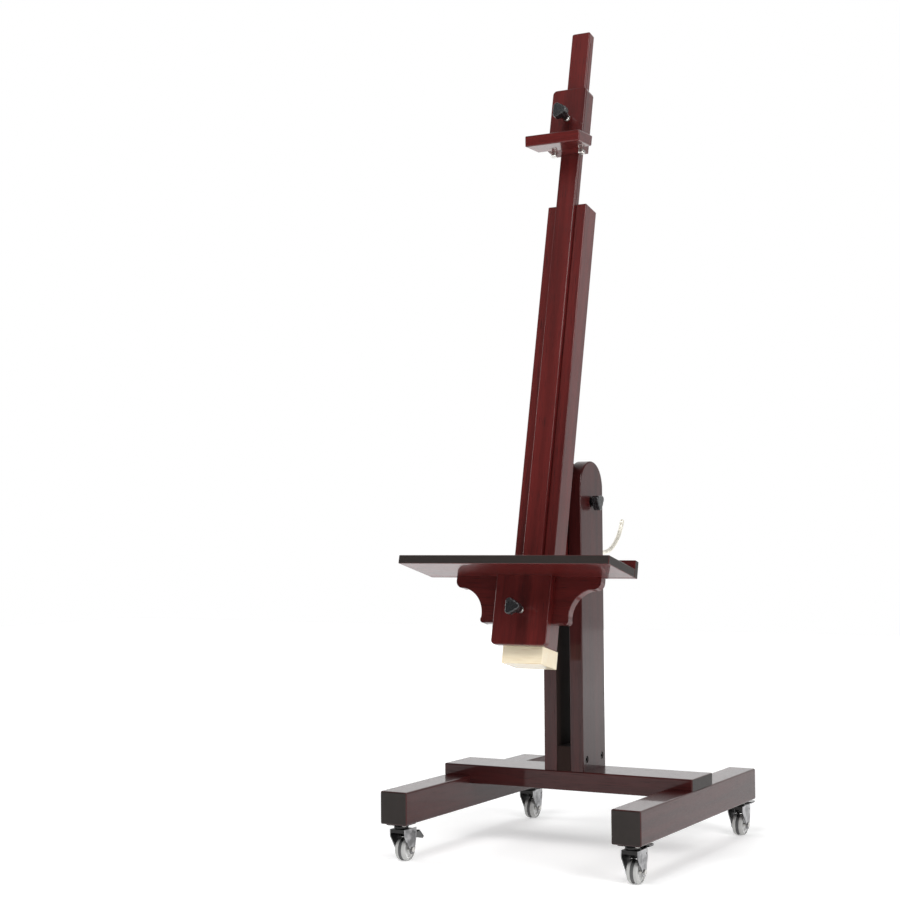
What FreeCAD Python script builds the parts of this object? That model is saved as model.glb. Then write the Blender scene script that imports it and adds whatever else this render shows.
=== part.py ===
import FreeCAD, Part
import math
import os

from FreeCAD import Vector

os.makedirs("parts", exist_ok=True)

# Studio easel on casters, in millimetres. +Z is up, +X is the user's right when
# facing the easel, and -Y is the side the painter stands on. The origin lies on
# the floor under the middle of the cross beam.

# ---------------------------------------------------------------- driving sizes
BASE_WIDTH = 540.0          # across the outer faces of the runners
RUNNER_LENGTH = 616.0
RUNNER_WIDTH = 58.0
RUNNER_HEIGHT = 63.0
CASTER_HEIGHT = 74.0        # floor to the underside of a runner
BEAM_DEPTH = 108.0
BEAM_THICKNESS = 38.0
BEAM_LAP = 15.0             # depth cut from under the beam where it sits on a runner
POST_THICKNESS = 28.0
POST_GAP = 29.0
POST_TOP = 774.0
PIVOT_HEIGHT = 692.0
MAST_LEAN = 13.2            # degrees back from upright, as it stands
MAST_WIDTH = 85.0
MAST_DEPTH = 50.0
MAST_OFFSET = 98.0          # pivot axis to the back of the mast
MAST_TOP = 585.0            # measured up the mast from the pivot
MAST_FOOT = -320.0
SLIDER_WIDTH = 40.0
SLIDER_DEPTH = 22.5
SLIDER_PROUD = 10.5         # how far the slider stands out of the stiles
SLIDER_TOP = 969.0
TRAY_WIDTH = 439.0
TRAY_DEPTH = 119.6
TRAY_BOARD = 16.5
TRAY_TOP = -171.5
HEAD_WIDTH = 76.0
HEAD_TOP = 827.0
HEAD_BOTTOM = 693.0
LIP_WIDTH = 120.0
LIP_DEPTH = 64.0
LIP_THICKNESS = 22.0
WHEEL_RADIUS = 22.0
SLIDE_GAP = 0.4             # clearance between pieces that slide on each other
TURN_GAP = 0.06             # radial clearance of a running fit
WOOD_EDGE = 2.5             # radius on the sanded edges of the timber
KNOB_RADIUS = 17.0
KNOB_HEAD = 15.0            # length of the lobed end of a knob
FIRST_LOBE = 0.0            # degrees, seen along the knob's own axis
BOLT_RADIUS = 4.0

# ------------------------------------------------------------- derived positions
RUNNER_X = (BASE_WIDTH - RUNNER_WIDTH) / 2
RUNNER_INNER = RUNNER_X - RUNNER_WIDTH / 2
RUNNER_TOP = CASTER_HEIGHT + RUNNER_HEIGHT
BEAM_BOTTOM = RUNNER_TOP - BEAM_LAP
BEAM_TOP = BEAM_BOTTOM + BEAM_THICKNESS
POST_INNER = POST_GAP / 2
POST_OUTER = POST_INNER + POST_THICKNESS
POST_RADIUS = BEAM_DEPTH / 2
STILE_BACK = -MAST_OFFSET
STILE_FRONT = STILE_BACK - MAST_DEPTH
SLIDER_FRONT = STILE_FRONT - SLIDER_PROUD
SLIDER_BACK = SLIDER_FRONT + SLIDER_DEPTH
CHANNEL_HALF = SLIDER_WIDTH / 2 + SLIDE_GAP
WING_FRONT = STILE_FRONT - 19.0
PLATE_FRONT = WING_FRONT - 16.0
TRAY_UNDER = TRAY_TOP - TRAY_BOARD
RAIL_BACK = STILE_FRONT - 3.0
RAIL_FRONT = RAIL_BACK - 15.0
HEAD_BACK = STILE_FRONT - 3.0
HEAD_FRONT = HEAD_BACK - 34.0


# ---------------------------------------------------------------------- helpers
def box(x_range, y_range, z_range, edge=0.0):
    """A block between two limits on each axis, with all its edges rounded."""
    size = [high - low for low, high in (x_range, y_range, z_range)]
    corner = Vector(x_range[0], y_range[0], z_range[0])
    block = Part.makeBox(size[0], size[1], size[2], corner)
    return block.makeFillet(edge, block.Edges) if edge else block


def rod(radius, start, end):
    """A round bar from one point to another."""
    start, end = Vector(*start), Vector(*end)
    return Part.makeCylinder(radius, (end - start).Length, start, end - start)


def cone(radius_a, radius_b, start, end):
    """A tapered round bar from one point to another."""
    start, end = Vector(*start), Vector(*end)
    return Part.makeCone(radius_a, radius_b, (end - start).Length, start, end - start)


def side_prism(outline, x_low, x_high):
    """A plate cut to an outline of (y, z) points, between two X planes."""
    points = [Vector(x_low, y, z) for y, z in outline]
    face = Part.Face(Part.makePolygon(points + points[:1]))
    return face.extrude(Vector(x_high - x_low, 0, 0))


def front_prism(edges, y_low, y_high):
    """A board cut to a closed run of edges drawn in the XZ plane at y_low."""
    face = Part.Face(Part.Wire(edges))
    return face.extrude(Vector(0, y_high - y_low, 0))


def joined(first, *others):
    """One solid made of several."""
    for other in others:
        first = first.fuse(other)
    return first.removeSplitter()


def cut(shape, *tools):
    """A solid with several others cut away."""
    for tool in tools:
        shape = shape.cut(tool)
    return shape


def mirrored(shape):
    """The same shape on the other side of the middle plane."""
    return shape.mirror(Vector(0, 0, 0), Vector(1, 0, 0))


def on_mast(shape):
    """Takes a shape drawn on an upright mast, pivot at the origin, to its place."""
    placed = shape.copy()
    placed.rotate(Vector(0, 0, 0), Vector(1, 0, 0), -MAST_LEAN)
    placed.translate(Vector(0, 0, PIVOT_HEIGHT))
    return placed


def save(name, *shapes):
    """Writes one node, which holds one solid or a group of like ones."""
    shape = shapes[0] if len(shapes) == 1 else Part.makeCompound(list(shapes))
    shape.exportStep("parts/" + name + ".step")


def countersunk_screw(start, end, radius=2.0):
    """A wood screw whose flat head starts at one point, with a cross recess."""
    start, end = Vector(*start), Vector(*end)
    length = (end - start).Length
    head = cone(2 * radius, radius, (0, 0, 0), (0, 0, radius))
    screw = joined(rod(radius, (0, 0, 0), (0, 0, length)), head)
    arm, slot = 1.1 * radius, 0.25 * radius
    for reach_x, reach_y in ((arm, slot), (slot, arm)):
        screw = screw.cut(box((-reach_x, reach_x), (-reach_y, reach_y), (-1, 0.6 * radius)))
    return facing(screw, end - start, start)


def hole_for(screw_start, screw_end, radius=2.0):
    """The countersunk hole that takes such a screw."""
    start, end = Vector(*screw_start), Vector(*screw_end)
    seat_end = start + (end - start).normalize() * radius
    return joined(rod(radius, start, end), cone(2 * radius, radius, start, seat_end))


def facing(shape, direction, position):
    """Turns a shape drawn along +Z to face a direction, and moves it there."""
    turned = shape.copy()
    turn = FreeCAD.Rotation(Vector(0, 0, 1), Vector(*direction))
    turned.Placement = FreeCAD.Placement(Vector(*position), turn)
    return turned


# ------------------------------------------------------------------- base timber
BEAM_BOLT_Y = (-30.0, 30.0)
BASE_BOLT_LENGTH = 60.0
BOLT_HEAD = 8.0
RUNNER_BOLT_Z = CASTER_HEIGHT + 18.0
SPACER_BOLT_Z = BEAM_BOTTOM + 1.0
SPACER_HEIGHT = 48.0
SPACER_BOLT_Y = (-14.0, 14.0)
POST_BOLT_Y = (-36.0, 36.0)
POST_BOLT_Z = BEAM_TOP + 23.0
PLUG_RADIUS = 7.0
PLUG_DEPTH = 6.0
POST_SCREW_END = POST_INNER + 22.0
PIVOT_BOLT_RADIUS = 5.0
BOLT_HEAD_RADIUS = 6.5
HEAD_ROOM_RADIUS = 8.5


def make_runners():
    """Two square foot beams, drilled for the bolts that hold the cross beam."""
    half = RUNNER_LENGTH / 2
    x_range = (RUNNER_X - RUNNER_WIDTH / 2, RUNNER_X + RUNNER_WIDTH / 2)
    runner = box(x_range, (-half, half), (CASTER_HEIGHT, RUNNER_TOP), WOOD_EDGE + 0.5)
    for y in BEAM_BOLT_Y:
        head_top = (RUNNER_X, y, RUNNER_BOLT_Z + BOLT_HEAD)
        head_room = rod(HEAD_ROOM_RADIUS, (RUNNER_X, y, CASTER_HEIGHT - 1), head_top)
        shank_hole = rod(BOLT_RADIUS, (RUNNER_X, y, CASTER_HEIGHT), (RUNNER_X, y, RUNNER_TOP + 1))
        runner = cut(runner, head_room, shank_hole)
    save("right_runner", runner)
    save("left_runner", mirrored(runner))


def make_cross_beam():
    """The flat beam across the runners, thinner where it rests on them."""
    half_x = BASE_WIDTH / 2
    half_y = BEAM_DEPTH / 2
    beam = box((-half_x, half_x), (-half_y, half_y), (BEAM_BOTTOM, BEAM_TOP), WOOD_EDGE)
    for side in (-1, 1):
        x_range = sorted((side * RUNNER_INNER, side * (half_x + 1)))
        beam = beam.cut(box(x_range, (-half_y - 1, half_y + 1), (BEAM_BOTTOM - 1, RUNNER_TOP)))
    for x in (-RUNNER_X, RUNNER_X):
        for y in BEAM_BOLT_Y:
            top = RUNNER_BOLT_Z + BASE_BOLT_LENGTH
            beam = beam.cut(rod(BOLT_RADIUS, (x, y, BEAM_BOTTOM - 1), (x, y, top)))
    for y in SPACER_BOLT_Y:
        head_room = rod(HEAD_ROOM_RADIUS, (0, y, BEAM_BOTTOM - 1), (0, y, SPACER_BOLT_Z + BOLT_HEAD))
        beam = cut(beam, head_room, rod(BOLT_RADIUS, (0, y, BEAM_BOTTOM), (0, y, BEAM_TOP + 1)))
    save("cross_beam", beam)


def make_posts():
    """Two round-topped boards standing on the beam, a gap apart."""
    crown_z = POST_TOP - POST_RADIUS
    shaft = box((POST_INNER, POST_OUTER), (-POST_RADIUS, POST_RADIUS), (BEAM_TOP, crown_z))
    crown = rod(POST_RADIUS, (POST_INNER, 0, crown_z), (POST_OUTER, 0, crown_z))
    post = joined(shaft, crown)
    upper_edges = [e for e in post.Edges if e.BoundBox.ZMax > BEAM_TOP + 1 and e.Length > POST_THICKNESS + 1]
    post = post.makeFillet(WOOD_EDGE, upper_edges)
    post = post.cut(rod(PIVOT_BOLT_RADIUS + 0.3, (0, 0, PIVOT_HEIGHT), (POST_OUTER + 1, 0, PIVOT_HEIGHT)))
    right, left = post, mirrored(post)
    for y in POST_BOLT_Y:
        hole = rod(BOLT_RADIUS, (-POST_SCREW_END, y, POST_BOLT_Z), (POST_OUTER + 1, y, POST_BOLT_Z))
        seat = rod(PLUG_RADIUS, (POST_OUTER - PLUG_DEPTH, y, POST_BOLT_Z), (POST_OUTER + 1, y, POST_BOLT_Z))
        right = cut(right, hole, seat)
        left = left.cut(hole)
    save("right_post", right)
    save("left_post", left)


def make_post_spacer():
    """The block that holds the feet of the posts apart and ties them to the beam."""
    top = BEAM_TOP + SPACER_HEIGHT
    half = BEAM_DEPTH / 2 - 1.0
    spacer = box((-POST_INNER, POST_INNER), (-half, half), (BEAM_TOP, top))
    for y in POST_BOLT_Y:
        spacer = spacer.cut(rod(BOLT_RADIUS, (-POST_GAP, y, POST_BOLT_Z), (POST_GAP, y, POST_BOLT_Z)))
    for y in SPACER_BOLT_Y:
        top = SPACER_BOLT_Z + BASE_BOLT_LENGTH
        spacer = spacer.cut(rod(BOLT_RADIUS, (0, y, BEAM_TOP - 1), (0, y, top)))
    save("post_spacer", spacer)


# ----------------------------------------------------------------- base hardware
def socket_bolt(start, end, head_length):
    """A cap bolt: its head at start, its shank running to end, a hexagon socket."""
    start, end = Vector(*start), Vector(*end)
    along = (end - start).normalize()
    head = Part.makeCylinder(BOLT_HEAD_RADIUS, head_length, start, along)
    shank = Part.makeCylinder(BOLT_RADIUS, (end - start).Length, start, along)
    socket = Part.makeCylinder(BOLT_HEAD_RADIUS * 0.45, head_length * 0.6, start, along)
    return joined(head, shank).cut(socket)


def make_base_bolts():
    """Bolts up into the beam and the spacer, and screws through the posts."""
    feet = [(x, y, RUNNER_BOLT_Z) for x in (-RUNNER_X, RUNNER_X) for y in BEAM_BOLT_Y]
    feet += [(0, y, SPACER_BOLT_Z) for y in SPACER_BOLT_Y]
    bolts = []
    for x, y, z in feet:
        bolts.append(socket_bolt((x, y, z), (x, y, z + BASE_BOLT_LENGTH), BOLT_HEAD))
    save("base_bolts", *bolts)
    screw_head = 5.0
    start = POST_OUTER - PLUG_DEPTH + screw_head
    screws = []
    for y in POST_BOLT_Y:
        screws.append(socket_bolt((start, y, POST_BOLT_Z), (-POST_SCREW_END, y, POST_BOLT_Z), screw_head))
    save("post_screws", *screws)


WASHER_RADIUS = 11.0
WASHER_THICKNESS = 1.2
PIVOT_BOLT_END = POST_OUTER + 16.0


def make_pivot():
    """The bolt the mast tilts on, and a washer on each side of each sliding face."""
    z = PIVOT_HEIGHT
    dome = Part.makeSphere(13.0, Vector(-POST_OUTER + 7.0, 0, z))
    dome = dome.common(box((-POST_OUTER - 20, -POST_OUTER), (-15, 15), (z - 15, z + 15)))
    shank = rod(PIVOT_BOLT_RADIUS, (-POST_OUTER, 0, z), (PIVOT_BOLT_END, 0, z))
    save("pivot_bolt", joined(dome, shank))
    rings = []
    for x in (-POST_INNER, POST_INNER - WASHER_THICKNESS, POST_OUTER):
        ring = rod(WASHER_RADIUS, (x, 0, z), (x + WASHER_THICKNESS, 0, z))
        rings.append(ring.cut(rod(PIVOT_BOLT_RADIUS, (-POST_OUTER, 0, z), (POST_OUTER + 5, 0, z))))
    save("pivot_washers", *rings)


# ------------------------------------------------------------------------- knobs
def knob(hub_length, bore_radius, bore_depth):
    """A three-lobed knob on the Z axis: hub foot at z = 0, lobes at the far end."""
    end = hub_length + KNOB_HEAD
    lobe_distance = 9.5
    lobe_radius = KNOB_RADIUS - lobe_distance
    head = rod(12.5, (0, 0, hub_length), (0, 0, end))
    for turn in range(3):
        angle = math.radians(FIRST_LOBE + 120 * turn)
        x, y = lobe_distance * math.cos(angle), lobe_distance * math.sin(angle)
        head = head.fuse(rod(lobe_radius, (x, y, hub_length), (x, y, end)))
    head = head.removeSplitter()
    upright = [e for e in head.Edges if e.BoundBox.ZLength > KNOB_HEAD - 1]
    creases = [e for e in upright if e.BoundBox.XLength < 0.01]
    head = head.makeFillet(3.0, creases)
    rims = [e for e in head.Edges if e.BoundBox.ZLength < 0.01]
    head = head.makeFillet(2.5, rims)
    hub = cone(8.0, 11.0, (0, 0, 0), (0, 0, hub_length + 2))
    body = joined(head, hub)
    return body.cut(rod(bore_radius, (0, 0, -1), (0, 0, bore_depth)))


# -------------------------------------------------------------------------- mast
BRACKET_SCREW_Z = (-115.0, -15.0, 85.0)
GROOVE_DEPTH = 4.6
STRIP_THICKNESS = 8.0
STRIP_HALF = CHANNEL_HALF + GROOVE_DEPTH - SLIDE_GAP
STRIP_BACK = SLIDER_BACK + STRIP_THICKNESS
BACK_BOARD = 15.0


def make_stiles():
    """The two side rails of the mast, each grooved inside for the clamp strip."""
    outer = MAST_WIDTH / 2
    stile = box((CHANNEL_HALF, outer), (STILE_FRONT, STILE_BACK), (MAST_FOOT, MAST_TOP), WOOD_EDGE * 0.6)
    groove_y = (SLIDER_BACK - SLIDE_GAP, STRIP_BACK + SLIDE_GAP)
    groove = box((0, CHANNEL_HALF + GROOVE_DEPTH), groove_y, (MAST_FOOT - 1, MAST_TOP + 1))
    stile = stile.cut(groove)
    save("right_stile", on_mast(stile))
    save("left_stile", on_mast(mirrored(stile)))


def make_back_board():
    """The board glued between the stiles, which closes the mast at the back."""
    half = CHANNEL_HALF
    board = box((-half, half), (STILE_BACK - BACK_BOARD, STILE_BACK - 0.5), (MAST_FOOT, MAST_TOP))
    for z in BRACKET_SCREW_Z:
        board = board.cut(rod(BOLT_RADIUS, (0, STILE_FRONT, z), (0, STILE_BACK + 1, z)))
    save("mast_back_board", on_mast(board))


FOOT_BLOCK = 34.0
FOOT_HALF = 42.5
FOOT_SCREW_X = 31.0


def make_foot_block():
    """The plain end block under the mast, which the slider comes to rest on."""
    front, back = SLIDER_FRONT - 1.5, STILE_BACK + 5.0
    z_range = (MAST_FOOT - FOOT_BLOCK, MAST_FOOT)
    block = box((-FOOT_HALF, FOOT_HALF), (front, back), z_range, 1.2)
    screws = []
    for x in (-FOOT_SCREW_X, FOOT_SCREW_X):
        y = (STILE_FRONT + STILE_BACK) / 2
        bottom = MAST_FOOT - FOOT_BLOCK
        ends = ((x, y, bottom), (x, y, MAST_FOOT))
        block = block.cut(hole_for(*ends))
        screws.append(on_mast(countersunk_screw(*ends)))
    save("mast_foot_block", on_mast(block))
    save("foot_block_screws", *screws)


BRACKET_HALF = POST_INNER - WASHER_THICKNESS - 0.3
BOSS_RADIUS = 34.0
HANDLE_RADIUS = 4.5
HANDLE_DROP = 103.0         # below the pivot, where the handle leaves the posts
HANDLE_FRONT = 8.0
HANDLE_STRAIGHT_END = 150.0
HANDLE_BEND = 110.0
HANDLE_TURN = 66.0          # degrees


def handle_start_socket():
    """The straight first stretch of the handle, which sits in the bracket."""
    z = PIVOT_HEIGHT - HANDLE_DROP
    return rod(HANDLE_RADIUS, (0, HANDLE_FRONT, z), (0, HANDLE_STRAIGHT_END, z))


def make_tilt_bracket():
    """The tongue fixed to the back of the mast, which turns between the posts."""
    outline = [
        (STILE_BACK, 118),
        (STILE_BACK, -150),
        (46, -128),
        (56, -118),
        (56, -82),
        (33, -8),
        (16, 30),
    ]
    web = side_prism(outline, -BRACKET_HALF, BRACKET_HALF)
    boss = rod(BOSS_RADIUS, (-BRACKET_HALF, 0, 0), (BRACKET_HALF, 0, 0))
    bore = rod(PIVOT_BOLT_RADIUS + TURN_GAP, (-POST_OUTER, 0, 0), (POST_OUTER, 0, 0))
    bracket = joined(web, boss).cut(bore)
    screws = []
    for z in BRACKET_SCREW_Z:
        y = STILE_BACK - BACK_BOARD
        bracket_end = (0, STILE_BACK + 24, z)
        screws.append(on_mast(rod(BOLT_RADIUS, (0, y, z), bracket_end)))
        bracket = bracket.cut(rod(BOLT_RADIUS, (0, STILE_BACK - 1, z), bracket_end))
    placed = on_mast(bracket).cut(handle_start_socket())
    save("tilt_bracket", placed)
    return screws


def make_bracket_studs(studs):
    """Studs that tie the tongue to the back board of the mast."""
    save("bracket_studs", *studs)


def make_tilt_handle():
    """A bright round bar out of the back of the tongue, bent up to a free end."""
    z = PIVOT_HEIGHT - HANDLE_DROP
    start = Vector(0, HANDLE_FRONT, z)
    bend = Vector(0, HANDLE_STRAIGHT_END, z)
    centre = bend + Vector(0, 0, HANDLE_BEND)

    def on_bend(degrees):
        angle = math.radians(degrees)
        return centre + Vector(0, math.sin(angle), -math.cos(angle)) * HANDLE_BEND

    tip = on_bend(HANDLE_TURN)
    path = Part.Wire([
        Part.LineSegment(start, bend).toShape(),
        Part.Arc(bend, on_bend(HANDLE_TURN / 2), tip).toShape(),
    ])
    section = Part.Wire(Part.Circle(start, Vector(0, 1, 0), HANDLE_RADIUS).toShape())
    bar = path.makePipeShell([section], True, False)
    cap = Part.makeSphere(HANDLE_RADIUS, tip)
    save("tilt_handle", joined(bar, cap))


# -------------------------------------------------- slider, tray and its bracket
STUD_BARE = 9.0
LONG_HUB = 20.0
KNOB_THREAD = 22.0
INSERT_RADIUS = 6.5
INSERT_LENGTH = 14.0
CLEARANCE_HOLE = BOLT_RADIUS + 0.4
KERF_INNER = 15.6
KEEPER_THICKNESS = 1.2
KERF_BOTTOM = -150.0
KERF_TOP = SLIDER_TOP - 24.0
SLIDER_BOTTOM = MAST_FOOT + 0.3
CLAMP_Z = -255.0


def make_slider():
    """The long bar that slides up the mast, kerfed on both sides for the head."""
    half = SLIDER_WIDTH / 2
    bar = box((-half, half), (SLIDER_FRONT, SLIDER_BACK), (SLIDER_BOTTOM, SLIDER_TOP))
    long_edges = [e for e in bar.Edges if e.BoundBox.ZLength > 100]
    bar = bar.makeFillet(1.5, long_edges)
    top_corners = [e for e in bar.Edges if e.BoundBox.ZMin > SLIDER_TOP - 2 and e.BoundBox.YLength > 5]
    bar = bar.makeFillet(5.0, top_corners)
    kerf_y = (HEAD_BACK - SLIDE_GAP, HEAD_BACK + KEEPER_THICKNESS + SLIDE_GAP)
    kerf = box((KERF_INNER, half + 1), kerf_y, (KERF_BOTTOM, KERF_TOP))
    bolt_hole = rod(CLEARANCE_HOLE, (0, SLIDER_FRONT - 1, CLAMP_Z), (0, SLIDER_BACK + 1, CLAMP_Z))
    bar = cut(bar, kerf, mirrored(kerf), bolt_hole)
    save("slider", on_mast(bar))


STRIP_LENGTH = 450.0


def make_clamp_strip():
    """The hardwood strip behind the slider, which runs in the stile grooves."""
    z_range = (SLIDER_BOTTOM, SLIDER_BOTTOM + STRIP_LENGTH)
    strip = box((-STRIP_HALF, STRIP_HALF), (SLIDER_BACK, STRIP_BACK), z_range)
    strip = strip.cut(rod(CLEARANCE_HOLE, (0, SLIDER_BACK - 1, CLAMP_Z), (0, STRIP_BACK + 1, CLAMP_Z)))
    save("clamp_strip", on_mast(strip))


WING_HALF = 154.0
WING_BOTTOM = -278.0


def wing_edges():
    """The curly outline of the board under the tray, right half then left half."""
    y = WING_FRONT
    quarter = math.sqrt(0.5)

    def at(x, z):
        return Vector(x, y, z)

    end_z = TRAY_UNDER - 9.0
    nose = 14.0
    ledge_z = end_z - nose
    ledge_x = WING_HALF - nose
    sweep_x = ledge_x - 4.0
    sweep = 43.0
    drop = 58.0
    toe_x = sweep_x - sweep
    toe_z = ledge_z - drop
    toe = WING_BOTTOM
    toe_radius = toe_z - toe
    nose_mid = at(ledge_x + nose * quarter, end_z - nose * quarter)
    sweep_mid = at(sweep_x - sweep * quarter, toe_z + drop * quarter)
    toe_mid = at(toe_x - toe_radius * (1 - quarter) * 0.2, toe_z - toe_radius * quarter)
    right = [
        ("line", at(WING_HALF, TRAY_UNDER), at(WING_HALF, end_z)),
        ("arc", at(WING_HALF, end_z), nose_mid, at(ledge_x, ledge_z)),
        ("line", at(ledge_x, ledge_z), at(sweep_x, ledge_z)),
        ("arc", at(sweep_x, ledge_z), sweep_mid, at(toe_x, toe_z)),
        ("arc", at(toe_x, toe_z), toe_mid, at(toe_x - toe_radius, toe)),
    ]
    edges = []
    for kind, *points in right:
        for side in (1, -1):
            turned = [Vector(side * p.x, p.y, p.z) for p in points]
            curve = Part.Arc(*turned) if kind == "arc" else Part.LineSegment(*turned)
            edges.append(curve.toShape())
    foot_x = toe_x - toe_radius
    edges.append(Part.LineSegment(at(foot_x, toe), at(-foot_x, toe)).toShape())
    edges.append(Part.LineSegment(at(WING_HALF, TRAY_UNDER), at(-WING_HALF, TRAY_UNDER)).toShape())
    return Part.__sortEdges__(edges)


def make_wing_board():
    """The scroll-cut board that carries the tray, grooved behind for the slider."""
    back = STILE_FRONT - SLIDE_GAP
    wing = front_prism(wing_edges(), WING_FRONT, back)
    front = [e for e in wing.Edges if e.BoundBox.YMax < WING_FRONT + 1 and e.BoundBox.ZMax < TRAY_UNDER - 1]
    wing = wing.makeFillet(1.5, [e for e in front if e.Length > 50])
    half = SLIDER_WIDTH / 2
    groove = box((-half, half), (SLIDER_FRONT, back + 1), (WING_BOTTOM - 1, TRAY_UNDER + 1))
    bolt_hole = rod(CLEARANCE_HOLE, (0, WING_FRONT - 1, CLAMP_Z), (0, back, CLAMP_Z))
    save("wing_board", on_mast(cut(wing, groove, bolt_hole)))


PLATE_HALF = 58.0
PLATE_BOTTOM = -322.0


def make_front_plate():
    """The clamp plate in front of the wing board, with rounded lower corners."""
    plate = box((-PLATE_HALF, PLATE_HALF), (PLATE_FRONT, WING_FRONT), (PLATE_BOTTOM, TRAY_UNDER))
    lower = [e for e in plate.Edges if e.BoundBox.ZMax < PLATE_BOTTOM + 1 and e.BoundBox.YLength > 5]
    plate = plate.makeFillet(9.0, lower)
    front = [e for e in plate.Edges if e.BoundBox.YMax < PLATE_FRONT + 1 and e.BoundBox.ZMin < TRAY_UNDER - 1]
    plate = plate.makeFillet(2.0, front)
    insert_end = PLATE_FRONT + INSERT_LENGTH
    plate = plate.cut(rod(INSERT_RADIUS, (0, PLATE_FRONT - 1, CLAMP_Z), (0, insert_end, CLAMP_Z)))
    plate = plate.cut(rod(CLEARANCE_HOLE, (0, PLATE_FRONT, CLAMP_Z), (0, WING_FRONT + 1, CLAMP_Z)))
    save("front_plate", on_mast(plate))


TRAY_SCREW_X = (-120.0, -40.0, 40.0, 120.0)
RAIL_RISE = 16.5            # how far the rail stands above the tray board


def make_tray():
    """The tray board and the rail along its back, notched round the slider."""
    half = TRAY_WIDTH / 2
    tray_front = RAIL_FRONT - TRAY_DEPTH
    board = box((-half, half), (tray_front, RAIL_FRONT), (TRAY_UNDER, TRAY_TOP), 1.5)
    rail = box((-half, half), (RAIL_FRONT, RAIL_BACK), (TRAY_UNDER, TRAY_TOP + RAIL_RISE), 1.5)
    notch_half = SLIDER_WIDTH / 2
    notch_z = (TRAY_UNDER - 1, TRAY_TOP + RAIL_RISE + 1)
    notch = box((-notch_half, notch_half), (SLIDER_FRONT, RAIL_BACK + 1), notch_z)
    rail = rail.cut(notch)
    board_screws = []
    plate_y = (PLATE_FRONT + RAIL_FRONT) / 2
    for x in (-40.0, 40.0):
        ends = ((x, plate_y, TRAY_TOP), (x, plate_y, TRAY_UNDER))
        board = board.cut(hole_for(*ends))
        board_screws.append(on_mast(countersunk_screw(*ends)))
    rail_screws = []
    for x in TRAY_SCREW_X:
        ends = ((x, RAIL_BACK, TRAY_UNDER + 6), (x, RAIL_FRONT, TRAY_UNDER + 6))
        rail = rail.cut(hole_for(*ends))
        rail_screws.append(on_mast(countersunk_screw(*ends)))
    save("tray_board", on_mast(board))
    save("tray_rail", on_mast(rail))
    save("tray_screws", *board_screws, *rail_screws)


def make_tray_clamp():
    """The insert in the plate, the clamp screw that bears on the mast, its knob."""
    z = CLAMP_Z
    insert = rod(INSERT_RADIUS, (0, PLATE_FRONT, z), (0, PLATE_FRONT + INSERT_LENGTH, z))
    bore = rod(BOLT_RADIUS + TURN_GAP, (0, PLATE_FRONT - 1, z), (0, WING_FRONT, z))
    save("tray_insert", on_mast(insert.cut(bore)))
    knob_y = PLATE_FRONT - STUD_BARE
    tip = STILE_BACK - BACK_BOARD - 0.5
    save("tray_clamp_screw", on_mast(rod(BOLT_RADIUS, (0, tip, z), (0, knob_y - KNOB_THREAD, z))))
    grip = knob(LONG_HUB, BOLT_RADIUS, KNOB_THREAD)
    save("tray_knob", on_mast(facing(grip, (0, -1, 0), (0, knob_y, z))))


# -------------------------------------------------------------------- upper head
HEAD_CLAMP_Z = 761.0
KEEPER_X = (16.0, 34.0)
KEEPER_Z = (705.0, 815.0)
KEEPER_SCREW_X = 28.0
KEEPER_SCREW_RADIUS = 1.3
KEEPER_SCREWS = [
    ((x, HEAD_BACK + KEEPER_THICKNESS, z), (x, HEAD_BACK - 14, z))
    for x in (-KEEPER_SCREW_X, KEEPER_SCREW_X)
    for z in (KEEPER_Z[0] + 15, KEEPER_Z[1] - 15)
]
BUMPER_X = 31.0
LIP_RISE = 22.0             # foot of the head to the top of the lip, at the back


def make_head_block():
    """The block that slides on the bar, grooved behind and rounded on top."""
    half = HEAD_WIDTH / 2
    block = box((-half, half), (HEAD_FRONT, HEAD_BACK), (HEAD_BOTTOM, HEAD_TOP))
    top = [e for e in block.Edges if e.BoundBox.ZMin > HEAD_TOP - 1 and e.BoundBox.YLength > 5]
    block = block.makeFillet(9.0, top)
    rim = [e for e in block.Edges if e.BoundBox.YMax < HEAD_FRONT + 1 and e.BoundBox.ZMax > HEAD_BOTTOM + 1]
    block = block.makeFillet(2.0, rim)
    groove_half = CHANNEL_HALF
    groove_front = SLIDER_FRONT - SLIDE_GAP
    groove = box((-groove_half, groove_half), (groove_front, HEAD_BACK + 1), (HEAD_BOTTOM - 1, HEAD_TOP + 1))
    hole = rod(INSERT_RADIUS, (0, HEAD_FRONT - 1, HEAD_CLAMP_Z), (0, groove_front + 1, HEAD_CLAMP_Z))
    block = cut(block, groove, hole)
    for x in (-BUMPER_X, BUMPER_X):
        y = (HEAD_FRONT + HEAD_BACK) / 2
        block = block.cut(rod(2.5, (x, y, HEAD_BOTTOM - 1), (x, y, HEAD_BOTTOM + 18)))
    for ends in KEEPER_SCREWS:
        block = block.cut(hole_for(*ends, KEEPER_SCREW_RADIUS))
    save("head_block", on_mast(block))


def make_keepers():
    """Steel strips on the back of the head that run in the kerfs of the bar."""
    keepers = []
    for side in (1, -1):
        x_range = sorted(side * x for x in KEEPER_X)
        keeper = box(x_range, (HEAD_BACK, HEAD_BACK + KEEPER_THICKNESS), KEEPER_Z)
        for ends in KEEPER_SCREWS:
            keeper = keeper.cut(hole_for(*ends, KEEPER_SCREW_RADIUS))
        keepers.append(on_mast(keeper))
    screws = [on_mast(countersunk_screw(*ends, KEEPER_SCREW_RADIUS)) for ends in KEEPER_SCREWS]
    save("head_keepers", *keepers)
    save("keeper_screws", *screws)


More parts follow.
